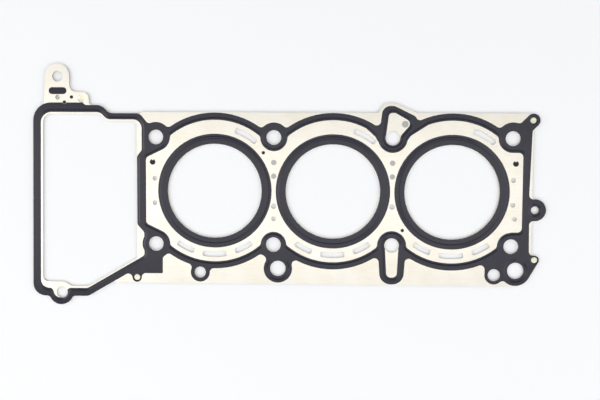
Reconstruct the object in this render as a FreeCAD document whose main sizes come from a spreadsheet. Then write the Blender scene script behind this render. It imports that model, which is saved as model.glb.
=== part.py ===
import FreeCAD, Part
import math
import os

import Sketcher
from FreeCAD import Vector

# A multi-layer steel head gasket for one three-cylinder bank of a V engine,
# with the timing-case opening in the same sheets. The origin is on the middle
# bore's axis, half way through the thickness. +X runs along the bank away
# from the timing case, +Y towards the lifting tab, +Z out of the printed face.
# Four bolt columns stand half way between the bores and past the end ones.
# A place beside a column is measured from it, so it moves with the pitch.

os.makedirs("parts", exist_ok=True)
doc = FreeCAD.newDocument("cylinder_head_gasket")
sizes = doc.addObject("Spreadsheet::Sheet", "sizes")

driving = (
    # thicknesses, from the middle of the stack outwards
    ("carrier_thickness", 0.70, "flat middle sheet"),
    ("active_thickness", 0.25, "spring steel sheet on each face"),
    ("bead_height", 0.30, "how far the raised level stands off the carrier"),
    ("bead_slope", 1.20, "width of the slope of a half bead"),
    ("bead_margin", 1.10, "from a print edge to the foot of its half bead"),
    ("bead_turn", 3.00, "least radius of a half bead round an inside corner"),
    ("print_thickness", 0.05, "elastomer print"),
    ("print_margin", 0.30, "bare steel between a print and a cut edge"),
    ("carrier_setback", 0.30, "how far the carrier stays back from an edge"),
    # bores, each radius from the one inside it
    ("bore_pitch", 106.0, "cylinder to cylinder"),
    ("bore_radius", 42.05, "opening over an 83 mm bore"),
    ("stopper_gap", 0.45, "stopper ring and its prints back from the bore edge"),
    ("stopper_width", 3.30, "stopper ring, across its flat"),
    ("stopper_rise", 0.10, "stopper ring above each face of the carrier"),
    ("weld_gap", 0.05, "stopper ring to carrier"),
    ("ridge_start", 4.45, "bore edge to the foot of the bead's inner flank"),
    ("ridge_flank", 0.90, "width of each flank"),
    ("ridge_crest", 1.00, "width of the crest"),
    ("bore_print_width", 8.65, "bore print, across its ring"),
    # bolts
    ("bolt_row", 48.0, "bolt rows each side of the bores' line"),
    ("bolt_hole_radius", 6.45, "hole for a bolt of 11 mm"),
    ("bolt_boss", 13.2, "print round a bolt hole, outside the band"),
    ("corner_boss", 14.1, "the same at the last upper one"),
    # water jacket window in the print, and the band round it
    ("window_radius", 63.8, "inside of the band, about each bore"),
    ("band_width", 6.0, "the print between window and sheet edge"),
    ("window_left", 9.3, "left end, out from the first column"),
    ("window_right", 9.6, "right end, out from the last column"),
    ("window_corner", 4.2, "rounding of its corners"),
    ("window_notch", 2.0, "rounding where bosses stand in it"),
    ("web_half", 9.0, "half width of the strip that joins it across a web"),
    ("end_slope", 25.8, "slant of its left end, degrees"),
    ("notch_fillet", 3.9, "rounding where bosses meet the band"),
    # openings for oil, dowels and feed, along from the nearest column and
    # down from the window's edge under the bores
    ("oil_x", 4.1, "from the second column"),
    ("oil_drop", 5.8, ""),
    ("oil_radius", 6.85, ""),
    ("oil_boss", 12.6, "print round it"),
    ("dowel_x", 39.9, "from the first column"),
    ("dowel_drop", 9.8, ""),
    ("dowel_radius", 4.95, ""),
    ("dowel_boss", 8.4, ""),
    ("feed_x", -14.6, "from the last column"),
    ("feed_drop", 9.9, ""),
    ("feed_radius", 5.30, ""),
    ("feed_boss", 8.2, ""),
    ("drain_x", 4.4, "from the last column"),
    ("drain_drop", 5.9, ""),
    ("drain_radius", 7.15, ""),
    ("drain_boss", 13.3, ""),
    ("ring_bead", 10.6, "outer radius of the half bead round both"),
    # ear at the flywheel end
    ("ear_x", 20.5, "from the last column"),
    ("ear_y", -15.3, ""),
    ("ear_radius", 3.27, "its hole"),
    ("ear_boss", 9.6, ""),
    ("ear_bead", 5.9, "outer radius of the half bead round its hole"),
    # water slots about each bore
    ("slot_gap", 3.6, "bore print to slot"),
    ("slot_width", 5.0, ""),
    ("slot_corner", 1.7, ""),
    ("side_slot_angle", 27.3, "side slots from the bottom one, degrees"),
    ("side_slot_half", 8.4, "half of their span, degrees"),
    ("wide_slot_half", 10.9, "half span of the bottom and upper slots"),
    ("upper_slot_angle", 60.4, "upper slot from +X, degrees"),
    # small holes between and outside the bores
    ("jet_radius", 2.4, "holes between the bores"),
    ("vent_radius", 2.1, "the smaller ones"),
    ("web_high", 25.7, "heights above the bores' line"),
    ("web_middle", 13.5, ""),
    ("web_low", -13.3, "heights below it"),
    ("web_foot", -24.7, ""),
    ("end_hole_out", 1.0, "out from the end columns"),
    ("end_hole_y", 11.0, ""),
    ("foot_hole_x", 2.9, "from the last column"),
    ("foot_hole_y", -23.5, ""),
    ("foot_hole_radius", 2.0, ""),
    ("key_hole_out", 3.1, "notched locating holes, out from the end columns"),
    ("key_hole_y", 25.7, ""),
    ("key_hole_radius", 2.60, ""),
    ("key_tooth", 0.65, "half width of the tooth in them"),
    ("key_tooth_reach", 0.90, ""),
    ("dot_out", 9.4, "small blind holes, out from the inner columns"),
    ("dot_y", 34.4, ""),
    ("dot_radius", 1.55, ""),
    ("tri_hole_x", 10.8, "blind hole in the three-sided window"),
    ("tri_hole_y", 60.3, ""),
    ("tri_hole_radius", 3.0, ""),
    ("patch_gap", 0.10, "a print in a blind hole back from its edge"),
    # sheet edges
    ("sheet_top", 70.2, ""),
    ("sheet_bottom", -83.6, ""),
    ("sheet_right", 17.8, "out from the last column"),
    ("column_right", 15.8, "print edge there"),
    ("hump_top", 78.8, "the bare hump over the third column"),
    # timing case, from the first column
    ("case_left", -111.5, "print's outer edge at half height"),
    ("case_lean", 0.0118, "lean of the left side"),
    ("case_top", 78.3, ""),
    ("case_step", 76.1, ""),
    ("case_step_x", -49.4, "where the top steps down"),
    ("case_shoulder", 68.9, ""),
    ("case_bottom", -96.2, ""),
    ("case_band_left", 6.45, "width of the print down the left side"),
    ("case_band_top", 8.1, ""),
    ("case_band_shoulder", 5.1, ""),
    ("case_band_bottom", 6.8, ""),
    ("case_lip_left", 2.1, "bare strip inside the print"),
    ("case_lip_top", 1.7, ""),
    ("case_lip_bottom", 1.9, ""),
    ("case_right", -17.4, "sheet edge beside the first bore"),
    ("case_slope", 30.2, "slope of the lower right side, degrees"),
    ("case_slope_x", -62.9, "where the slope starts"),
    ("case_hole_x", -86.6, "screw hole in the lower lobe"),
    ("case_hole_y", -93.0, ""),
    ("case_hole_radius", 5.1, ""),
    ("case_lobe", 10.7, ""),
    ("block_right", 5.7, "black block under the first bolt"),
    ("block_bottom", -74.8, ""),
    # lifting tab, from the first column
    ("tab_left", -100.2, ""),
    ("tab_right", -77.6, ""),
    ("tab_top", 113.1, ""),
    ("tab_corner", 10.4, ""),
    ("tab_foot", 87.9, "top of the rivet's lobe"),
    ("tab_hole_x", -88.5, ""),
    ("tab_hole_y", 101.8, ""),
    ("tab_hole_radius", 4.7, ""),
    ("tab_slot_y", 89.0, ""),
    ("tab_slot_half", 5.0, "half of the length between its end centres"),
    ("tab_slot_radius", 3.1, ""),
    ("tab_patch", 1.0, "print under the slot and dots past their edge"),
    ("tab_vent_y", 83.1, ""),
    ("tab_dot_x", -76.0, ""),
    ("tab_dot_y", 83.3, ""),
    ("edge_dot_x", -82.4, ""),
    ("edge_dot_y", 78.8, ""),
    # rivets: the first two from the last column, the others from the first
    ("rivet_1_x", 17.6, ""),
    ("rivet_1_y", 64.1, ""),
    ("rivet_2_x", 20.9, ""),
    ("rivet_2_y", -59.9, ""),
    ("rivet_3_x", -17.6, ""),
    ("rivet_3_y", -78.7, ""),
    ("rivet_4_x", -66.3, ""),
    ("rivet_4_y", 82.1, ""),
    ("rivet_head", 2.55, "radius"),
    ("rivet_shank", 1.50, "radius"),
    ("rivet_play", 0.05, "shank to the holes"),
    ("rivet_rise", 0.26, "head above the sheet"),
    ("rivet_chamfer", 0.14, "round the head"),
    ("rivet_eye", 0.90, "radius of the hollow in the head"),
    ("rivet_eye_depth", 0.10, ""),
    ("dimple_floor", 0.40, "flat round a head before its dimple's slope"),
    ("dimple_slope", 0.80, "width of that slope"),
    ("rivet_boss", 4.1, "print round the third rivet"),
    ("rivet_lobe", 3.9, "print round the second"),
    ("rivet_arm", 5.8, "half width of the arm to the first"),
)

for row, (alias, value, note) in enumerate(driving, start=1):
    sizes.set("A%d" % row, alias)
    sizes.set("B%d" % row, repr(value))
    sizes.setAlias("B%d" % row, alias)
    sizes.set("C%d" % row, note)
doc.recompute()


class Values:
    """The sheet's values by name."""

    def __getattr__(self, alias):
        return float(sizes.get(alias))


v = Values()


# places along the bank, as numbers and as expressions

def column(number):
    return (number - 2.5) * v.bore_pitch


def from_column(number, alias):
    return "%g * sizes.bore_pitch + sizes.%s" % (number - 2.5, alias)


def out_of(number, alias):
    """Away from the middle bore, from a column."""
    side = "+" if number > 2 else "-"
    return "%g * sizes.bore_pitch %s sizes.%s" % (number - 2.5, side, alias)


home_column = {
    "oil": 2, "dowel": 1, "feed": 4, "drain": 4, "ear": 4, "foot_hole": 4,
    "tri_hole": 3, "case_hole": 1, "tab_hole": 1, "tab_dot": 1, "edge_dot": 1,
    "rivet_1": 4, "rivet_2": 4, "rivet_3": 1, "rivet_4": 1,
}


under_window = ("oil", "dowel", "feed", "drain")


def centre(name):
    """The middle of a named opening or rivet."""
    x = column(home_column[name]) + getattr(v, name + "_x")
    if name in under_window:
        return x, -v.window_radius - getattr(v, name + "_drop")
    return x, getattr(v, name + "_y")


def centre_expressions(name):
    x = from_column(home_column[name], name + "_x")
    if name in under_window:
        return x, "-sizes.window_radius - sizes.%s_drop" % name
    return x, "sizes.%s_y" % name


rivets = ("rivet_1", "rivet_2", "rivet_3", "rivet_4")
bore_places = [(k * v.bore_pitch, 0.0) for k in (-1, 0, 1)]
columns = (1, 2, 3, 4)
# shapes round the third column's bolts, from the bolt: (x, y) or (x, y, rounding)
triangle_window = ((-6.5, 0.0), (-3.7, 22.4, 3.5), (2.1, 22.4, 3.5), (17.4, 13.8, 4.3),
                   (7.6, 2.7, 5.0), (6.6, 0.0))
triangle_rim = ((-12.0, 2.0), (-9.0, 28.2, 7.5), (1.3, 28.2, 7.0), (22.0, 18.0, 5.0),
                (17.2, 2.0))
triangle_left = ((-9.0, -4.0), (-13.4, -2.5, 3.0), (-15.5, 1.3, 3.0), (-24.0, 8.9),
                 (-13.0, 14.0))
triangle_right = ((9.0, -4.0), (13.2, -1.5, 3.0), (15.8, 2.2, 3.0), (33.0, 13.1), (19.0, 16.0))
keyhole_window = ((-6.2, 0.0), (-4.5, -29.1, 4.3), (5.0, -29.1, 4.3), (6.4, 0.0))
keyhole_rim = ((-12.1, -2.0), (-9.9, -34.8, 9.8), (10.3, -34.8, 9.8), (12.5, -2.0))
# print left round each bolt hole on the window's side, by column and side
window_bosses = {
    (1, 1): 12.4, (1, -1): 12.4,
    (2, 1): 12.0, (2, -1): 11.3,
    (3, 1): 13.0, (3, -1): 12.8,
    (4, 1): 12.4, (4, -1): 12.1,
}


# outlines in the plane of the sheets

def disc(x, y, radius):
    circle = Part.Circle(Vector(x, y, 0), Vector(0, 0, 1), radius)
    return Part.Face(Part.Wire(circle.toShape()))


def polygon(corners):
    """A closed outline from corners (x, y) or (x, y, rounding radius)."""
    count = len(corners)
    twice = sum(corners[i - 1][0] * corners[i][1] - corners[i][0] * corners[i - 1][1]
                for i in range(count))
    if twice < 0:
        corners = corners[::-1]
    places = [Vector(c[0], c[1], 0) for c in corners]
    ends = []
    for i, corner in enumerate(corners):
        here = places[i]
        radius = corner[2] if len(corner) > 2 else 0.0
        if radius == 0.0:
            ends.append((here, None, here))
            continue
        back = (places[i - 1] - here).normalize()
        ahead = (places[(i + 1) % count] - here).normalize()
        half = back.getAngle(ahead) / 2
        reach = radius / math.tan(half)
        inward = (back + ahead).normalize()
        middle = here + inward * (radius / math.sin(half) - radius)
        ends.append((here + back * reach, middle, here + ahead * reach))
    edges = []
    for i, (start, middle, end) in enumerate(ends):
        if middle is not None:
            edges.append(Part.Arc(start, middle, end).toShape())
        following = ends[(i + 1) % count][0]
        if (following - end).Length > 1e-6:
            edges.append(Part.LineSegment(end, following).toShape())
    return Part.Face(Part.Wire(edges))


def rectangle(left, bottom, right, top):
    return polygon([(left, bottom), (right, bottom), (right, top), (left, top)])


def hull(x1, y1, r1, x2, y2, r2):
    """Two discs and the straight band between their outer tangents."""
    reach = math.hypot(x2 - x1, y2 - y1)
    along = math.atan2(y2 - y1, x2 - x1)
    turn = math.acos((r1 - r2) / reach)
    sides = []
    for angle in (along + turn, along - turn):
        unit = Vector(math.cos(angle), math.sin(angle), 0)
        sides.append((Vector(x1, y1, 0) + unit * r1, Vector(x2, y2, 0) + unit * r2))
    corners = [sides[0][0], sides[0][1], sides[1][1], sides[1][0]]
    band = polygon([(c.x, c.y) for c in corners])
    return united([band, disc(x1, y1, r1), disc(x2, y2, r2)])


def united(areas):
    faces = [face for area in areas for face in area.Faces]
    return faces[0].multiFuse(faces[1:]).removeSplitter()


def without(face, holes):
    return face.cut(holes).removeSplitter()


def grown(face, distance):
    result = face.makeOffset2D(distance, join=0, fill=False, openResult=False,
                               intersection=True)
    return result.Faces[0]


def largest(shape):
    return max(shape.Faces, key=lambda face: face.Area)


def filled(shape):
    """The largest face without its holes."""
    return Part.Face(largest(shape).OuterWire)


def closed(face, radius):
    """Inside corners rounded to the radius."""
    return grown(grown(face, radius), -radius)


def opened(face, radius):
    """Outside corners rounded to the radius."""
    return grown(grown(face, -radius), radius)


def beside_third(side, corners):
    """A shape measured from the upper or lower bolt of the third column."""
    x, y = column(3), side * v.bolt_row
    return polygon([(x + corner[0], y + corner[1]) + corner[2:] for corner in corners])


def left_edge(x, y):
    """The timing case's left side leans, so x is that of half height."""
    return x + v.case_lean * y


def window_outline():
    """The bare water jacket area that all three bores share."""
    row, web = v.bolt_row, v.web_half
    left, right = column(1) - v.window_left, column(4) + v.window_right
    end_height = row - window_bosses[(4, 1)]
    areas = [disc(x, y, v.window_radius) for x, y in bore_places]
    areas.append(rectangle(left, -row, column(1) + 2 * web, row))
    areas.append(rectangle(column(4) - web, -end_height, right, end_height))
    for number in (2, 3):
        areas.append(rectangle(column(number) - web, web - row, column(number) + web, row - web))
    area = united(areas).common(rectangle(left, -v.sheet_top, right, v.sheet_top))
    bosses = [disc(column(number), side * row, radius)
              for (number, side), radius in window_bosses.items()]
    # the left end slants, tangent to the boss of its bolt
    slant = math.radians(v.end_slope)
    for side in (1, -1):
        radius = window_bosses[(1, side)]
        x, y = column(1) + radius * math.sin(slant), row - radius * math.cos(slant)
        far = left - radius
        wedge = [(x, y), (column(1), row), (column(1) + radius / 2, row + radius),
                 (far, row + radius), (far, y - (x - far) * math.tan(slant))]
        bosses.append(polygon([(a, side * b) for a, b in wedge]))
    # the print stays wide beside the three-sided window
    bosses += [beside_third(1, triangle_left), beside_third(1, triangle_right)]
    return closed(opened(largest(without(area, bosses)), v.window_corner), v.window_notch)


def case_print_outline():
    """The print's inner edge round the timing case."""
    slope = math.tan(math.radians(v.case_slope))
    first = column(1)
    left = first + v.case_left + v.case_band_left
    right = first + v.case_right
    top = v.case_top - v.case_band_top
    shoulder = v.case_shoulder - v.case_band_shoulder
    bottom = v.case_bottom + v.case_band_bottom
    step_x = first + v.case_step_x
    slope_x = first + v.case_slope_x
    foot_x = right + 6.8
    foot_y = bottom + (foot_x - slope_x) * slope
    area = polygon([(left_edge(left, top), top, 10.0),
                    (step_x - 0.9, top, 7.5), (step_x + 5.4, shoulder, 7.5),
                    (right + 4.7, shoulder, 8.0),
                    (right + 4.7, 36.2, 4.0),
                    (right + 0.4, 30.6, 4.0),
                    (right + 0.4, -30.8, 4.0),
                    (foot_x - 0.2, -37.6, 4.0),
                    (foot_x, foot_y, 4.0),
                    (slope_x, bottom, 5.0),
                    (left_edge(left, bottom), bottom, 7.5)])
    boss = disc(first, -v.bolt_row, window_bosses[(1, -1)])
    x, y = centre("case_hole")
    lobe = disc(x - 1.7, y + 1.0, v.case_hole_radius + 1.1)
    return closed(opened(largest(without(united([area, lobe]), [boss])), 2.0), 4.0)


def case_sheet_outline():
    """The steel's own edge round the timing case."""
    slope = math.tan(math.radians(v.case_slope))
    first = column(1)
    left = first + v.case_left + v.case_band_left + v.case_lip_left
    right = first + v.case_right
    top = v.case_top - v.case_band_top - v.case_lip_top
    shoulder = v.case_shoulder - v.case_band_shoulder - v.case_lip_top
    bottom = v.case_bottom + v.case_band_bottom + v.case_lip_bottom
    ledge = bottom + 4.0
    step_x = first + v.case_step_x
    slope_x = first + v.case_slope_x + 0.6
    ledge_x = first + v.case_hole_x
    foot_y = bottom + (right - slope_x) * slope
    return polygon([(left_edge(left, top), top, 7.5),
                    (step_x - 1.5, top, 7.0), (step_x + 4.6, shoulder, 7.0),
                    (right, shoulder, 3.5),
                    (right, foot_y, 2.5),
                    (slope_x, bottom, 4.0),
                    (ledge_x + 9.0, bottom, 4.5), (ledge_x + 2.4, ledge, 5.0),
                    (left_edge(left, ledge), ledge, 5.0)])


def triangle_outline():
    """The three-sided bare window above the third bolt."""
    rim = disc(column(3), v.bolt_row, v.bolt_hole_radius + v.print_margin)
    return largest(united([beside_third(1, triangle_window), rim]))


def keyhole_outline():
    """The bare slot below the third bolt."""
    rim = disc(column(3), -v.bolt_row, v.bolt_hole_radius + v.print_margin)
    return largest(united([beside_third(-1, keyhole_window), rim]))


def print_outline():
    """Everything inside the perimeter print's outer edge."""
    slope = math.tan(math.radians(v.case_slope))
    first, last = column(1), column(4)
    row = v.bolt_row
    left = first + v.case_left
    step_x = first + v.case_step_x
    corner_x = first + v.case_slope_x + 0.5
    rise = v.block_bottom - v.case_bottom
    frame = polygon([(left_edge(left, v.case_top), v.case_top, 16.0),
                     (step_x - 16.6, v.case_top, 1.5), (step_x - 14.4, v.case_step, 1.5),
                     (step_x, v.case_step, 9.0), (step_x + 7.3, v.case_shoulder, 9.0),
                     (first - 14.6, v.case_shoulder, 6.0), (first - 7.5, row + 12.0),
                     (first + v.block_right, row + 7.0),
                     (first + v.block_right, v.block_bottom, 1.0),
                     (corner_x + rise / slope, v.block_bottom),
                     (corner_x, v.case_bottom, 8.0),
                     (left_edge(left, v.case_bottom), v.case_bottom, 11.0)])
    edge = last + v.column_right
    end_column = polygon([(last - 9.0, -60.0), (edge + 0.1, -60.0), (edge - 0.7, 0.0),
                          (edge + 1.0, row + 8.0), (last, row + 8.0), (last - 9.0, row)])
    band = v.window_radius + v.band_width
    pieces = [frame, end_column, beside_third(1, triangle_rim), beside_third(-1, keyhole_rim)]
    pieces += [disc(x, y, band).common(rectangle(x - band, -band, min(x + band, last), band))
               for x, y in bore_places]
    pieces += [disc(column(number), side * row, v.bolt_boss)
               for number in columns for side in (1, -1)]
    pieces.append(disc(last, row, v.corner_boss))
    x, y = centre("case_hole")
    pieces.append(disc(x - 0.6, y - 0.4, v.case_lobe))
    pieces.append(disc(*centre("oil"), v.oil_boss))
    pieces.append(disc(*centre("dowel"), v.dowel_boss))
    pieces.append(disc(*centre("feed"), v.feed_boss))
    pieces.append(disc(*centre("ear"), v.ear_boss))
    x, y = centre("feed")
    pieces.append(rectangle(x - v.feed_boss + 0.1, y - 0.3, last + 9.0, y + 28.0))
    pieces.append(hull(*centre("rivet_1"), v.rivet_arm, last + 6.0, row + 4.5, v.rivet_arm))
    pieces.append(hull(*centre("rivet_2"), v.rivet_lobe, *centre("drain"), v.drain_boss))
    x, y = centre("rivet_3")
    pieces.append(hull(x, y, v.rivet_boss, x, v.block_bottom + v.rivet_boss, v.rivet_boss))
    return closed(filled(united(pieces)), v.notch_fillet)


def sheet_outline(printed):
    """The steel sheets' outer edge, with the tabs that carry no print."""
    first, third, last = column(1), column(3), column(4)
    x, y = centre("rivet_4")
    tab = polygon([(first + v.tab_left - 1.0, v.case_top - 6.0),
                   (first + v.tab_left + 0.9, v.tab_top, v.tab_corner),
                   (first + v.tab_right - 0.4, v.tab_top, v.tab_corner),
                   (first + v.tab_right, v.tab_foot, 6.0),
                   (x + 5.6, v.tab_foot, 5.5),
                   (x + 6.2, y - 4.1, 3.5), (x + 10.0, y - 8.1)])
    hump = polygon([(third - 13.6, v.sheet_top - 1.0), (third - 7.8, v.hump_top, 7.0),
                    (third + 1.8, v.hump_top, 9.0), (third + 23.5, v.sheet_top - 1.0)])
    upper_plate = rectangle(first - 13.0, 0.0, last + 4.4, v.sheet_top)
    lower_plate = rectangle(first - 37.0, v.sheet_bottom, last + 4.4, 0.0)
    x, y = centre("rivet_1")
    corner = rectangle(third, 0.0, x, v.sheet_top)
    edge = rectangle(last - 9.0, -56.0, last + v.sheet_right, v.bolt_row + 9.0)
    area = united([grown(printed, v.print_margin), tab, hump, upper_plate, lower_plate,
                   corner, edge])
    return closed(filled(area), 2.0)


def slot(x, middle, half):
    """A water slot, curved about the bore at x, with rounded corners."""
    inner = v.bore_radius + v.stopper_gap + v.bore_print_width + v.slot_gap
    outer = inner + v.slot_width
    far = 1.2 * outer
    angles = [math.radians(middle + side * half) for side in (-1, 1)]
    wedge = polygon([(x, 0.0)] + [(x + far * math.cos(a), far * math.sin(a)) for a in angles])
    ring = disc(x, 0.0, outer).cut(disc(x, 0.0, inner))
    return opened(largest(ring.common(wedge)), v.slot_corner)


def bore_slots(x):
    """The four slots of one bore: three below it and one above."""
    below = [(-90.0 - v.side_slot_angle, v.side_slot_half), (-90.0, v.wide_slot_half),
             (-90.0 + v.side_slot_angle, v.side_slot_half)]
    above = [(v.upper_slot_angle, v.wide_slot_half)]
    return [slot(x, middle, half) for middle, half in below + above]


def tab_slot(extra):
    """The long hole under the tab's round one, grown by extra."""
    x, y = centre("tab_hole")[0], v.tab_slot_y
    radius = v.tab_slot_radius + extra
    return hull(x - v.tab_slot_half, y, radius, x + v.tab_slot_half, y, radius)


def key_hole(number, back):
    """The notched locating hole beyond an end column, set back at its edge."""
    out = v.key_hole_out if number > 2 else -v.key_hole_out
    x, y, radius = column(number) + out, v.key_hole_y, v.key_hole_radius - back
    half = v.key_tooth + back
    top = y + v.key_hole_radius
    tooth = rectangle(x - half, top - v.key_tooth_reach - back, x + half, top + 1.0)
    return largest(without(disc(x, y, radius), [tooth]))


window = window_outline()
case_print = case_print_outline()
case_sheet = case_sheet_outline()
triangle = triangle_outline()
keyhole = keyhole_outline()
printed = print_outline()
steel = sheet_outline(printed)
bead_reach = v.bead_margin + v.bead_slope
bead_loops = [closed(grown(area, bead_reach), v.bead_turn)
              for area in (window, case_print, triangle, keyhole)]
bead_loops += [disc(*centre("oil"), v.ring_bead), disc(*centre("drain"), v.ring_bead),
               disc(*centre("ear"), v.ear_bead)]
dimple_reach = v.rivet_head + v.dimple_floor + v.dimple_slope
dimples = [disc(*centre(name), dimple_reach) for name in rivets]


# heights in the stack, as expressions

carrier_top = "sizes.carrier_thickness / 2"
stopper_top = carrier_top + " + sizes.stopper_rise"
low_top = carrier_top + " + sizes.active_thickness"
raised_foot = carrier_top + " + sizes.bead_height"
raised_top = raised_foot + " + sizes.active_thickness"
bead_taper = "-atan(sizes.bead_slope / sizes.bead_height)"
dimple_taper = "-atan(sizes.dimple_slope / sizes.bead_height)"
bore_columns = ["%d * sizes.bore_pitch" % k for k in (-1, 0, 1)]


# bodies, sketches and features

def new_body(label):
    body = doc.addObject("PartDesign::Body", label)
    body.Label = label
    return body


def attach(body, name, role):
    """An empty sketch on one of the body's own planes."""
    sketch = body.newObject("Sketcher::SketchObject", name)
    plane = next(item for item in body.Origin.OriginFeatures if item.Role == role)
    sketch.AttachmentSupport = [(plane, "")]
    sketch.MapMode = "FlatFace"
    return sketch


def draw(sketch, area):
    """The area's outlines, as lines, arcs and circles."""
    for edge in [edge for wire in area.Wires for edge in wire.Edges]:
        start, end = edge.valueAt(edge.FirstParameter), edge.valueAt(edge.LastParameter)
        if isinstance(edge.Curve, Part.Line):
            sketch.addGeometry(Part.LineSegment(start, end), False)
        elif edge.isClosed():
            curve = edge.Curve
            sketch.addGeometry(Part.Circle(curve.Center, Vector(0, 0, 1), curve.Radius), False)
        else:
            middle = edge.valueAt((edge.FirstParameter + edge.LastParameter) / 2)
            sketch.addGeometry(Part.Arc(start, middle, end), False)


def flat_sketch(body, name, height, areas=()):
    """A sketch parallel to the sheets, at a height given by an expression."""
    sketch = attach(body, name, "XY_Plane")
    sketch.setExpression("AttachmentOffset.Base.z", height)
    for area in areas:
        draw(sketch, area)
    return sketch


def bind(sketch, constraint, expression):
    index = sketch.addConstraint(constraint)
    sketch.setExpression("Constraints[%d]" % index, expression)


def draw_circle(sketch, x, y, radius):
    """A circle with its place and radius bound to expressions."""
    values = [float(sketch.evalExpression(text)) for text in (x, y, radius)]
    circle = Part.Circle(Vector(values[0], values[1], 0), Vector(0, 0, 1), values[2])
    index = sketch.addGeometry(circle, False)
    bind(sketch, Sketcher.Constraint("Radius", index, values[2]), radius)
    for kind, value, text, axis in (("DistanceX", values[0], x, -2),
                                    ("DistanceY", values[1], y, -1)):
        if value == 0.0:
            sketch.addConstraint(Sketcher.Constraint("PointOnObject", index, 3, axis))
        else:
            bind(sketch, Sketcher.Constraint(kind, -1, 1, index, 3, value), text)


def section(body, name, axis_x, corners):
    """A closed section through an upright axis, corners (radius, height)."""
    sketch = attach(body, name, "XZ_Plane")
    sketch.setExpression("AttachmentOffset.Base.x", axis_x)
    places = [Vector(float(sketch.evalExpression(x)), float(sketch.evalExpression(z)), 0)
              for x, z in corners]
    count = len(places)
    for i, place in enumerate(places):
        sketch.addGeometry(Part.LineSegment(place, places[(i + 1) % count]), False)
    for i in range(count):
        sketch.addConstraint(Sketcher.Constraint("Coincident", i, 2, (i + 1) % count, 1))
    for i, (x, z) in enumerate(corners):
        for kind, value, text, axis in (("DistanceX", places[i].x, x, -2),
                                        ("DistanceY", places[i].y, z, -1)):
            if value == 0.0:
                sketch.addConstraint(Sketcher.Constraint("PointOnObject", i, 1, axis))
            else:
                bind(sketch, Sketcher.Constraint(kind, -1, 1, i, 1, value), text)
    return sketch


def pad(body, name, sketch, length, taper=None, downwards=False):
    feature = body.newObject("PartDesign::Pad", name)
    feature.Profile = sketch
    feature.Reversed = downwards
    feature.setExpression("Length", length)
    if taper:
        feature.setExpression("TaperAngle", taper)
    return feature


def pocket(body, name, sketch, length=None, taper=None):
    """A pocket downwards from its sketch, through everything without a length."""
    feature = body.newObject("PartDesign::Pocket", name)
    feature.Profile = sketch
    if length:
        feature.setExpression("Length", length)
    else:
        feature.Type = "ThroughAll"
    if taper:
        feature.setExpression("TaperAngle", taper)
    return feature


def turned(body, kind, name, sketch):
    feature = body.newObject("PartDesign::" + kind, name)
    feature.Profile = sketch
    feature.ReferenceAxis = (sketch, ["V_Axis"])
    feature.Angle = 360.0
    return feature


def along_bank(body, name, originals):
    """The features of the first bore repeated at the other two."""
    pattern = body.newObject("PartDesign::LinearPattern", name)
    pattern.Originals = originals
    axis = next(item for item in body.Origin.OriginFeatures if item.Role == "X_Axis")
    pattern.Direction = (axis, [""])
    pattern.Occurrences = len(bore_places)
    pattern.setExpression("Length", "%d * sizes.bore_pitch" % (len(bore_places) - 1))
    body.Tip = pattern
    return pattern


def embossed(body, foot, thickness, outline, rivet_dimples):
    """A sheet at the raised level, pressed down inside every bead loop."""
    top = foot + " + " + thickness
    pad(body, "sheet", flat_sketch(body, "sheet_outline", foot, [outline]), thickness)
    for name, areas, taper in (("bead", bead_loops, bead_taper),
                               ("dimple", rivet_dimples, dimple_taper)):
        below = flat_sketch(body, name + "_underside", foot, areas)
        pad(body, name + "_pressed", below, "sizes.bead_height", taper, downwards=True)
        above = flat_sketch(body, name + "_face", top, areas)
        pocket(body, name + "_hollow", above, "sizes.bead_height", taper)


def ridge(offset, height):
    """One face of the bore bead, from the bore outwards, as (radius, height)."""
    start = "sizes.bore_radius + sizes.ridge_start"
    crest_in = start + " + sizes.ridge_flank"
    crest_out = crest_in + " + sizes.ridge_crest"
    foot = crest_out + " + sizes.ridge_flank"
    low = height + offset
    return [(start, low + " + sizes.stopper_rise"), (crest_in, low + " + sizes.bead_height"),
            (crest_out, low + " + sizes.bead_height"), (foot, low)]


# round holes, as expressions for x, y and radius

def named_hole(name):
    return centre_expressions(name) + ("sizes.%s_radius" % name,)


sealed_holes = [("%g * sizes.bore_pitch" % (number - 2.5), side + "sizes.bolt_row",
                 "sizes.bolt_hole_radius") for number in columns for side in ("", "-")]
sealed_holes += [named_hole(name) for name in ("oil", "dowel", "feed", "drain", "ear",
                                               "case_hole")]
bare_holes = [("%g * sizes.bore_pitch" % (number - 2.5), "sizes.web_low", "sizes.jet_radius")
              for number in (2, 3)]
bare_holes.append(("-0.5 * sizes.bore_pitch", "sizes.web_foot", "sizes.vent_radius"))
bare_holes += [(out_of(number, "end_hole_out"), side + "sizes.end_hole_y", "sizes.vent_radius")
               for number in (1, 4) for side in ("", "-")]
bare_holes.append(named_hole("foot_hole"))
bare_holes.append(named_hole("tab_hole"))
bare_holes.append((from_column(1, "tab_hole_x"), "sizes.tab_vent_y", "sizes.vent_radius"))
blind_holes = [("%g * sizes.bore_pitch" % (number - 2.5), "sizes." + height,
                "sizes.jet_radius")
               for number in (2, 3) for height in ("web_high", "web_middle")]
blind_holes.append(named_hole("tri_hole"))
window_dots = [(out_of(2, "dot_out"), "sizes.dot_y", "sizes.dot_radius"),
               (out_of(3, "dot_out"), "-sizes.dot_y", "sizes.dot_radius")]
tab_dots = [centre_expressions(name) + ("sizes.dot_radius",) for name in ("tab_dot", "edge_dot")]
blind_holes += window_dots + tab_dots
rivet_holes = [centre_expressions(name) + ("sizes.rivet_shank + sizes.rivet_play",)
               for name in rivets]


def cut_round(body, name, holes, extra=""):
    sketch = flat_sketch(body, name + "_circles", raised_top + " + 1")
    for x, y, radius in holes:
        draw_circle(sketch, x, y, radius + extra)
    return pocket(body, name, sketch)


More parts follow.
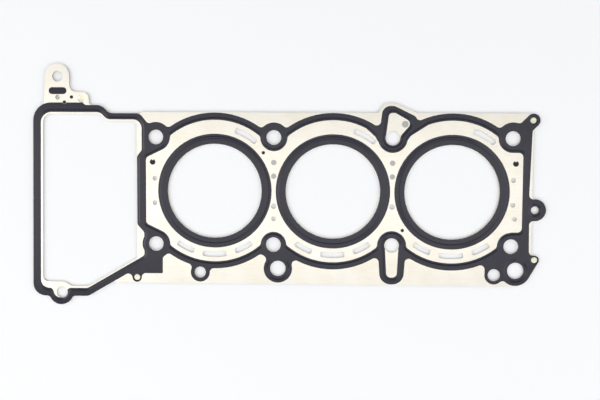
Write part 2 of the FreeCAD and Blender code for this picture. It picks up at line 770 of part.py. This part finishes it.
def cut_areas(body, name, areas):
    return pocket(body, name, flat_sketch(body, name + "_outlines", raised_top + " + 1", areas))


def active_layer(label):
    """An embossed spring steel sheet with every hole and opening in it."""
    body = new_body(label)
    embossed(body, raised_foot, "sizes.active_thickness", steel, dimples)
    # the bore bead starts inside the bore, which is cut afterwards
    inside = "sizes.bore_radius - 1"
    face = ridge(" + sizes.active_thickness", carrier_top)
    raised = section(body, "ridge_face", bore_columns[0],
                     [(inside, low_top), (inside, face[0][1])] + face)
    ridge_up = turned(body, "Revolution", "ridge", raised)
    under = ridge("", carrier_top)
    hollow = section(body, "ridge_underside", bore_columns[0],
                     [(inside, carrier_top), (inside, under[0][1])] + under)
    ridge_hollow = turned(body, "Groove", "ridge_hollow", hollow)
    along_bank(body, "ridges", [ridge_up, ridge_hollow])
    cut_round(body, "bores", [(x, "0", "sizes.bore_radius") for x in bore_columns])
    cut_round(body, "holes", sealed_holes + bare_holes + blind_holes + rivet_holes)
    keys = [key_hole(number, 0.0) for number in (1, 4)]
    cut_areas(body, "openings", [case_sheet, tab_slot(0.0)] + keys)
    slots = cut_areas(body, "slots", bore_slots(bore_places[0][0]))
    along_bank(body, "all_slots", [slots])
    return body


def carrier():
    """The flat middle sheet, set back from every edge but the rivets' holes."""
    body = new_body("carrier_layer")
    back = " + sizes.carrier_setback"
    outline = grown(steel, -v.carrier_setback)
    pad(body, "sheet", flat_sketch(body, "sheet_outline", "-" + carrier_top, [outline]),
        "sizes.carrier_thickness")
    seat = "sizes.bore_radius + sizes.stopper_gap + sizes.stopper_width + sizes.weld_gap"
    cut_round(body, "ring_seats", [(x, "0", seat) for x in bore_columns])
    cut_round(body, "holes", sealed_holes + bare_holes, back)
    cut_round(body, "rivet_holes", rivet_holes)
    cut_areas(body, "case_opening", [grown(case_sheet, v.carrier_setback)])
    slots = cut_areas(body, "slots", [grown(area, v.carrier_setback)
                                      for area in bore_slots(bore_places[0][0])])
    along_bank(body, "all_slots", [slots])
    return body


def stopper_ring(label, axis_x):
    """A combustion stopper, thicker than the carrier it sits in."""
    body = new_body(label)
    inner = "sizes.bore_radius + sizes.stopper_gap"
    outer = inner + " + sizes.stopper_width"
    sketch = flat_sketch(body, "ring_outline", "-(%s)" % stopper_top)
    draw_circle(sketch, axis_x, "0", inner)
    draw_circle(sketch, axis_x, "0", outer)
    pad(body, "ring", sketch, "2 * (%s)" % stopper_top)
    return body


def bore_print(label, axis_x):
    """The elastomer ring over a bore bead."""
    body = new_body(label)
    inner = "sizes.bore_radius + sizes.stopper_gap"
    outer = inner + " + sizes.bore_print_width"
    face = ridge(" + sizes.active_thickness", carrier_top)
    corners = [(inner, face[0][1])] + face + [(outer, face[-1][1])]
    lifted = [(x, z + " + sizes.print_thickness") for x, z in reversed(corners)]
    turned(body, "Revolution", "ring", section(body, "ring_section", axis_x, corners + lifted))
    return body


def perimeter_print():
    """The elastomer print over the outer beads, bare inside its windows."""
    body = new_body("top_perimeter_print")
    embossed(body, raised_top, "sizes.print_thickness", printed, dimples[:3])
    cut_areas(body, "windows", [window, case_print, triangle, keyhole])
    margin = " + sizes.print_margin"
    # the third column's bolt holes lie in the two small windows
    outside = [hole for hole in sealed_holes if not hole[0].startswith("0.5 ")]
    cut_round(body, "holes", outside, margin)
    heads = [(x, y, "sizes.rivet_head") for x, y, radius in rivet_holes[:3]]
    cut_round(body, "rivet_clearance", heads, margin)
    cut_round(body, "edge_dot", tab_dots[1:], margin)
    return body


def carrier_patches(label, circles, areas, extra):
    """Elastomer prints on the carrier, seen through holes in the top sheet."""
    body = new_body(label)
    sketch = flat_sketch(body, "patches", carrier_top, areas)
    for x, y, radius in circles:
        draw_circle(sketch, x, y, radius + extra)
    pad(body, "print", sketch, "sizes.print_thickness")
    return body


def rivet(label):
    """A clinched rivet, its heads alike and sunk in the sheets' dimples."""
    body = new_body(label)
    axis_x, axis_y = centre_expressions(label)
    top = low_top + " + sizes.rivet_rise"
    half = [("0", top + " - sizes.rivet_eye_depth"),
            ("sizes.rivet_eye", top),
            ("sizes.rivet_head - sizes.rivet_chamfer", top),
            ("sizes.rivet_head", top + " - sizes.rivet_chamfer"),
            ("sizes.rivet_head", low_top),
            ("sizes.rivet_shank", low_top)]
    lower = [(x, "-(%s)" % z) for x, z in reversed(half)]
    turned(body, "Revolution", "shank_and_heads", section(body, "half", "0", half + lower))
    body.setExpression("Placement.Base.x", axis_x)
    body.setExpression("Placement.Base.y", axis_y)
    return body


def mirrored(label, source):
    """The same piece on the other face of the carrier."""
    item = doc.addObject("Part::Mirroring", label)
    item.Label = label
    item.Source = source
    item.Base = Vector(0, 0, 0)
    item.Normal = Vector(0, 0, 1)
    return item


top_layer = active_layer("top_layer")
nodes = [top_layer, carrier(), mirrored("bottom_layer", top_layer)]
for number, axis in enumerate(bore_columns, start=1):
    nodes.append(stopper_ring("stopper_ring_%d" % number, axis))
    top_ring = bore_print("top_bore_print_%d" % number, axis)
    nodes += [top_ring, mirrored("bottom_bore_print_%d" % number, top_ring)]
top_print = perimeter_print()
nodes += [top_print, mirrored("bottom_perimeter_print", top_print)]
nodes.append(carrier_patches("carrier_tab_print", tab_dots, [tab_slot(v.tab_patch)],
                             " + sizes.tab_patch"))
nodes.append(carrier_patches("carrier_hole_prints", window_dots,
                             [key_hole(number, v.patch_gap) for number in (1, 4)],
                             " - sizes.patch_gap"))
nodes += [rivet(label) for label in rivets]
doc.recompute()

for item in doc.Objects:
    if "Invalid" in item.State or "Error" in item.State:
        raise RuntimeError("%s failed: %s" % (item.Label, item.State))
for node in nodes:
    if node.Shape.isNull() or not node.Shape.isValid():
        raise RuntimeError("%s has no valid shape" % node.Label)
    box = node.Shape.BoundBox
    print("%-24s %d solid, %8.1f mm3, z %.2f to %.2f" % (
        node.Label, len(node.Shape.Solids), node.Shape.Volume, box.ZMin, box.ZMax))
for node in nodes:
    node.Shape.exportStep("parts/%s.step" % node.Label)
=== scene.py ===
import math

import bmesh
import bpy
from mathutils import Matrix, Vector


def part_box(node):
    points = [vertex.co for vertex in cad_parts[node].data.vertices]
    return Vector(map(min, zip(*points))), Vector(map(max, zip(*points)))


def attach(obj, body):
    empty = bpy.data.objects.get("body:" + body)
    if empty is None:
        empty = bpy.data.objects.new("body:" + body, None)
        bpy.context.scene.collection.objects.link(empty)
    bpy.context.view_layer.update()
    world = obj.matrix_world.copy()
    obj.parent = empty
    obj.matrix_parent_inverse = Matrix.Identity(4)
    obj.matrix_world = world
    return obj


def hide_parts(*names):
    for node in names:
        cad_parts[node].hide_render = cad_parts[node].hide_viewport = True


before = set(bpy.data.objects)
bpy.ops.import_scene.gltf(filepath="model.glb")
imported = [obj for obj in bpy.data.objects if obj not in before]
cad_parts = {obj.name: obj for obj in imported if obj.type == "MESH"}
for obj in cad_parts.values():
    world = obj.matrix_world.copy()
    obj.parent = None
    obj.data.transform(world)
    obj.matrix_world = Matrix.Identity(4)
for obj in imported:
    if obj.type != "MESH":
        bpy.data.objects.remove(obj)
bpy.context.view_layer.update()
scene = bpy.context.scene
scene.view_settings.view_transform = "Standard"
mm = 0.001

print("camera")

camera = {
    "place": (-16.2, 17.3, 551.2),  # mm, almost straight over the gasket
    "tilt": (-2.59, 1.38, 0.35),  # degrees about x, y and z
    "lens": 36.9,  # on a sensor 36 mm wide
    "nearest": 10.0,  # mm
}

cameraData = bpy.data.cameras.new("copyStand")
cameraData.lens = camera["lens"]
cameraData.clip_start = camera["nearest"] * mm
cameraObject = bpy.data.objects.new("copyStand", cameraData)
cameraObject.location = Vector(camera["place"]) * mm
cameraObject.rotation_euler = [math.radians(angle) for angle in camera["tilt"]]
scene.collection.objects.link(cameraObject)
scene.camera = cameraObject


# materials

def linear(colour):  # sRGB hex to linear, opaque
    channels = [int(colour[i:i + 2], 16) / 255 for i in (1, 3, 5)]
    return [c / 12.92 if c <= 0.04045 else ((c + 0.055) / 1.055) ** 2.4 for c in channels] + [1.0]


def addNode(tree, kind, settings=None, links=None):
    node = tree.nodes.new(kind)
    for name, value in (settings or {}).items():
        if isinstance(name, int) or name in node.inputs:
            node.inputs[name].default_value = value
        else:
            setattr(node, name, value)
    for name, source in (links or {}).items():
        tree.links.new(source, node.inputs[name])
    return node


def newMaterial(name):  # a material with its tree, its surface shader and object coordinates
    material = bpy.data.materials.new(name)
    material.use_nodes = True
    tree = material.node_tree
    surface = tree.nodes["Principled BSDF"]
    place = addNode(tree, "ShaderNodeTexCoord").outputs["Object"]
    return material, tree, surface, place


def blendColours(tree, factor, first, second):
    blend = addNode(tree, "ShaderNodeMix", {"data_type": "RGBA"})
    tree.links.new(factor, blend.inputs[0])
    blend.inputs[6].default_value = linear(first)
    blend.inputs[7].default_value = linear(second)
    return blend.outputs[2]


steelLook = {
    "light": "#fcf8ee",  # bare sheet where it catches the lamps
    "dark": "#f4eede",
    "contrast": (0.15, 0.38),  # the part of the pattern that runs from light to dark
    "grainWidth": 0.25,  # mm, drawn coarser than rolling marks so that they show
    "grainLength": 9.0,
    "grainDepth": 0.002,
    "mottle": 26.0,  # mm, faint stains of the rolling oil
    "roughness": (0.29, 0.41),
}


def rolledSpringSteel():  # bare rolled sheet: pale satin with faint marks along the strip
    material, tree, surface, place = newMaterial("rolledSpringSteel")
    look = steelLook
    along = addNode(tree, "ShaderNodeMapping",
                    {"Scale": (look["grainWidth"] / look["grainLength"], 1, 1)}, {"Vector": place})
    grain = addNode(tree, "ShaderNodeTexNoise",
                    {"Scale": 1 / (look["grainWidth"] * mm), "Detail": 3.0},
                    {"Vector": along.outputs["Vector"]})
    stain = addNode(tree, "ShaderNodeTexNoise",
                    {"Scale": 1 / (look["mottle"] * mm), "Detail": 4.0}, {"Vector": place})
    tone = addNode(tree, "ShaderNodeMath", {"operation": "MULTIPLY"},
                   {0: grain.outputs["Fac"], 1: stain.outputs["Fac"]})
    low, high = look["contrast"]
    wide = addNode(tree, "ShaderNodeMapRange", {"From Min": low, "From Max": high},
                   {"Value": tone.outputs[0]})
    tree.links.new(blendColours(tree, wide.outputs[0], look["light"], look["dark"]),
                   surface.inputs["Base Color"])
    surface.inputs["Metallic"].default_value = 1.0
    smooth, rough = look["roughness"]
    gloss = addNode(tree, "ShaderNodeMapRange", {"To Min": smooth, "To Max": rough},
                    {"Value": grain.outputs["Fac"]})
    tree.links.new(gloss.outputs[0], surface.inputs["Roughness"])
    bump = addNode(tree, "ShaderNodeBump", {"Strength": 0.25, "Distance": look["grainDepth"] * mm},
                   {"Height": grain.outputs["Fac"]})
    tree.links.new(bump.outputs["Normal"], surface.inputs["Normal"])
    return material


elastomerLook = {
    "dark": "#0e0c1f",
    "light": "#15132a",
    "screen": 0.55,  # mm, mesh mark of the screen print, coarser than real
    "screenDepth": 0.006,
    "cloud": 7.0,  # mm, uneven ink
    "roughness": (0.13, 0.27),
    "ior": 1.54,
}


def printedElastomer():  # screen-printed nitrile: black, a soft sheen, a faint orange peel
    material, tree, surface, place = newMaterial("printedElastomer")
    look = elastomerLook
    cloud = addNode(tree, "ShaderNodeTexNoise",
                    {"Scale": 1 / (look["cloud"] * mm), "Detail": 5.0}, {"Vector": place})
    tree.links.new(blendColours(tree, cloud.outputs["Fac"], look["dark"], look["light"]),
                   surface.inputs["Base Color"])
    smooth, rough = look["roughness"]
    gloss = addNode(tree, "ShaderNodeMapRange", {"To Min": smooth, "To Max": rough},
                    {"Value": cloud.outputs["Fac"]})
    tree.links.new(gloss.outputs[0], surface.inputs["Roughness"])
    surface.inputs["IOR"].default_value = look["ior"]
    peel = addNode(tree, "ShaderNodeTexNoise",
                   {"Scale": 1 / (look["screen"] * mm), "Detail": 2.0}, {"Vector": place})
    bump = addNode(tree, "ShaderNodeBump", {"Strength": 0.3, "Distance": look["screenDepth"] * mm},
                   {"Height": peel.outputs["Fac"]})
    tree.links.new(bump.outputs["Normal"], surface.inputs["Normal"])
    return material


def plainFinish(name, light, dark, grain, roughness, metallic=1.0, depth=0.003):
    # an even finish with fine grain, sizes in mm, for faces that hardly show
    material, tree, surface, place = newMaterial(name)
    noise = addNode(tree, "ShaderNodeTexNoise", {"Scale": 1 / (grain * mm), "Detail": 4.0},
                    {"Vector": place})
    tree.links.new(blendColours(tree, noise.outputs["Fac"], light, dark),
                   surface.inputs["Base Color"])
    surface.inputs["Metallic"].default_value = metallic
    surface.inputs["Roughness"].default_value = roughness
    bump = addNode(tree, "ShaderNodeBump", {"Strength": 0.2, "Distance": depth * mm},
                   {"Height": noise.outputs["Fac"]})
    tree.links.new(bump.outputs["Normal"], surface.inputs["Normal"])
    return material


print("materials")
bareSteel = rolledSpringSteel()
elastomer = printedElastomer()
# the same print down a small hole, matt, its black a little darker than the top print as painted
# shade of the hole
sunkenPrintPaintedShade = plainFinish("sunkenElastomerPaintedShade", "#14121b", "#0c0b11", 0.6, 0.6, metallic=0.0)
# grey sheet: partly the duller cold-rolled steel, partly painted shade of the small blind holes
# where it shows
carrierSteelPaintedShade = plainFinish("coldRolledSteelPaintedShade", "#c9c8c6", "#b4b3b2", 0.8, 0.45)
# brighter and smoother than the sheets
stopperSteel = plainFinish("stampedStainless", "#dcdbd8", "#c6c5c3", 0.5, 0.28)
# the greenish yellow of passivated zinc
rivetSteel = plainFinish("passivatedSteel", "#f6f5e0", "#ebebcd", 0.4, 0.36)
# walls of punched holes and cut edges, near black: painted shade of the walls and of the shadow
# beside them, darker than sheared steel
paintedShadeEdge = plainFinish("shearedEdgePaintedShade", "#211f1d", "#141312", 0.12, 0.5)


# pieces

def finishPiece(piece, materials, node):
    piece.data.materials.clear()
    for material in materials:
        piece.data.materials.append(material)
    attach(piece, "root")
    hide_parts(node)


def newPiece(name, mesh):
    piece = bpy.data.objects.new(name, mesh)
    scene.collection.objects.link(piece)
    return piece


shading = {
    "weld": 0.0005,  # mm, points nearer than this are one
    "upright": 0.2,  # a face whose normal rises less than this is a wall
    "wallCrease": 30,  # degrees, walls that turn less look round
    "sheetCrease": 8,  # the bead slopes keep their sharp feet
    "ringCrease": 13,  # the rounded bore beads don't
}


def upright(face):
    return abs(face.normal.z) < shading["upright"]


def dressMesh(mesh, crease, spread=0, walls=0):
    # soft shading with creases, walls moved out by spread and given their own material (on the
    # sheets the near-black edge of painted shade)
    edit = bmesh.new()
    edit.from_mesh(mesh)
    bmesh.ops.remove_doubles(edit, verts=edit.verts, dist=shading["weld"] * mm)
    for face in edit.faces:
        face.smooth = True
        face.material_index = walls if upright(face) else 0
    for edge in edit.edges:
        between = all(upright(face) for face in edge.link_faces)
        limit = shading["wallCrease"] if between else crease
        edge.smooth = edge.calc_face_angle(math.pi) < math.radians(limit)
    if spread:
        moves = {}
        for vert in edit.verts:
            away = sum((face.normal for face in vert.link_faces if upright(face)), Vector())
            if away.length > 0.1:
                moves[vert] = away.normalized() * spread * mm
        for vert, move in moves.items():
            vert.co += move
    edit.to_mesh(mesh)
    edit.free()


# bare faces, and walls in the near-black edge of painted shade
sheetFaces = (bareSteel, paintedShadeEdge)
sheets = {  # CAD node, slot, face and wall materials, and mm that a print runs past its CAD edge
    "topSheet": ("top_layer", "bare_spring_steel", sheetFaces, 0),
    "bottomSheet": ("bottom_layer", "bare_spring_steel", sheetFaces, 0),
    "middleSheet": ("carrier_layer", "carrier_steel", (carrierSteelPaintedShade, paintedShadeEdge), 0),
    "topOuterPrint": ("top_perimeter_print", "black_elastomer", (elastomer,), 0.2),
    "bottomOuterPrint": ("bottom_perimeter_print", "black_elastomer", (elastomer,), 0.2),
    "tabRivet": ("rivet_4", "passivated_rivet_steel", (rivetSteel,), 0),
    "cornerRivet": ("rivet_1", "passivated_rivet_steel", (rivetSteel,), 0),
    "drainRivet": ("rivet_2", "passivated_rivet_steel", (rivetSteel,), 0),
    "caseRivet": ("rivet_3", "passivated_rivet_steel", (rivetSteel,), 0),
}

print("sheets, outer prints and rivets")
for name, (node, slotName, materials, spread) in sheets.items():
    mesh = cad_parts[node].data.copy()
    mesh.name = name
    dressMesh(mesh, shading["sheetCrease"], spread, len(materials) - 1)
    finishPiece(newPiece(name, mesh), materials, node)


def ringAbout(name, x, section, steps):
    # a closed section of (radius, height) in mm, turned about an upright axis at x
    mesh = bpy.data.meshes.new(name)
    edit = bmesh.new()
    corners = [edit.verts.new((x + radius * mm, 0, height * mm)) for radius, height in section]
    edges = [edit.edges.new((corners[i - 1], corners[i])) for i in range(len(corners))]
    bmesh.ops.spin(edit, geom=corners + edges, cent=(x, 0, 0), axis=(0, 0, 1),
                   angle=2 * math.pi, steps=steps, use_merge=True)
    bmesh.ops.remove_doubles(edit, verts=edit.verts, dist=shading["weld"] * mm)
    bmesh.ops.recalc_face_normals(edit, faces=edit.faces)
    edit.to_mesh(mesh)
    edit.free()
    return mesh


boreRing = {
    "inner": 42.15, "outer": 51.15,  # radii of the print, mm
    "rise": 46.50, "flank": 0.90, "crest": 1.00,  # the bead's inner foot, its flanks and its top
    "shelf": 0.70, "top": 0.90, "foot": 0.60,  # heights of the steel under the print
    "thickness": 0.05,
    "edgeDrop": 0.03,  # how much the print thins at its edges
    "rounding": 0.10,  # share of a flank that curves at each end
    "hold": 0.10,  # mm, loops beside each bend, so that the shading of the flats stays flat
    "steps": 240,
}


def flankShare(share):  # straight in the middle and curved at both ends, from 0 to 1
    curve = boreRing["rounding"]
    if share > 0.5:
        return 1 - flankShare(1 - share)
    if share < curve:
        return max(share, 0) ** 2 / (2 * curve * (1 - curve))
    return (share - curve / 2) / (1 - curve)


def beadHeight(radius):  # the steel's height under the bore print
    r = boreRing
    crestIn = r["rise"] + r["flank"]
    crestOut = crestIn + r["crest"]
    if radius <= crestIn:
        share, low = (radius - r["rise"]) / r["flank"], r["shelf"]
    else:
        share, low = (crestOut + r["flank"] - radius) / r["flank"], r["foot"]
    return low + (r["top"] - low) * flankShare(min(share, 1))


print("bore prints")
curve = boreRing["rounding"]
hold = boreRing["hold"]
inner, outer = boreRing["inner"], boreRing["outer"]
innerFlank = [boreRing["rise"] + boreRing["flank"] * share
              for share in (0, curve / 2, curve, 1 - curve, 1 - curve / 2, 1)]
outerFlank = [radius + boreRing["flank"] + boreRing["crest"] for radius in innerFlank]
ringRadii = [inner, inner + hold, innerFlank[0] - hold] + innerFlank + [innerFlank[-1] + hold]
ringRadii += [outerFlank[0] - hold] + outerFlank + [outerFlank[-1] + hold, outer - hold, outer]
steelLine = [(radius, beadHeight(radius)) for radius in ringRadii]
printLine = [(radius, height + boreRing["thickness"]) for radius, height in steelLine]
for end in (0, -1):
    radius, height = printLine[end]
    printLine[end] = (radius, height - boreRing["edgeDrop"])
ringSection = printLine + steelLine[::-1]

for side, sign in (("top", 1), ("bottom", -1)):
    for number in (1, 2, 3):
        node = "%s_bore_print_%d" % (side, number)
        low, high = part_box(node)
        name = "%sBorePrint%d" % (side, number)
        section = [(radius, sign * height) for radius, height in ringSection]
        mesh = ringAbout(name, (low.x + high.x) / 2, section, boreRing["steps"])
        dressMesh(mesh, shading["ringCrease"])
        finishPiece(newPiece(name, mesh), (elastomer,), node)


print("carried-over pieces")
carried = {
    stopperSteel: ["stopper_ring_1", "stopper_ring_2", "stopper_ring_3"],
    elastomer: ["carrier_tab_print"],
    sunkenPrintPaintedShade: ["carrier_hole_prints"],
}
for material, nodes in carried.items():
    for node in nodes:
        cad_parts[node].data.materials.clear()
        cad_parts[node].data.materials.append(material)


print("floor and lamps")
studio = {
    "floorSize": 3000.0,  # mm
    "floor": "#fcfdff",  # matt white paper
    "floorRoughness": 0.9,
    "ambient": 0.28,
}

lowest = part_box("bottom_perimeter_print")[0].z  # the print's underside, on which the gasket lies
floorMesh = bpy.data.meshes.new("paperFloor")
edit = bmesh.new()
bmesh.ops.create_grid(edit, x_segments=1, y_segments=1, size=studio["floorSize"] * mm / 2)
bmesh.ops.translate(edit, verts=edit.verts, vec=(0, 0, lowest))
edit.to_mesh(floorMesh)
edit.free()
floor = newPiece("paperFloor", floorMesh)
paper, _, paperSurface, _ = newMaterial("whitePaper")
paperSurface.inputs["Base Color"].default_value = linear(studio["floor"])
paperSurface.inputs["Roughness"].default_value = studio["floorRoughness"]
floorMesh.materials.append(paper)

world = bpy.data.worlds.new("studio")
scene.world = world
world.use_nodes = True
sky = world.node_tree.nodes["Background"]
sky.inputs["Color"].default_value = (1, 1, 1, 1)
sky.inputs["Strength"].default_value = studio["ambient"]

lamps = {  # place of its middle, size along x and y, tilt about x and y, radiance
    "overheadStrip": ((-725, -105, 2200), (3750, 910), (0, 0), 1.19),
    "frontSoftbox": ((-200, -1580, 1530), (2200, 1400), (46, 0), 1.2),
    "leftSoftbox": ((-1900, 0, 1150), (1800, 3600), (0, -59), 1.35),
    "rightSoftbox": ((1900, 0, 1150), (1800, 3600), (0, 59), 1.35),
}
for name, (place, size, tilt, radiance) in lamps.items():
    data = bpy.data.lights.new(name, "AREA")
    data.shape = "RECTANGLE"
    data.size = size[0] * mm
    data.size_y = size[1] * mm
    data.energy = math.pi * radiance * data.size * data.size_y
    lamp = bpy.data.objects.new(name, data)
    lamp.location = Vector(place) * mm
    lamp.rotation_euler = (math.radians(tilt[0]), math.radians(tilt[1]), 0)
    scene.collection.objects.link(lamp)
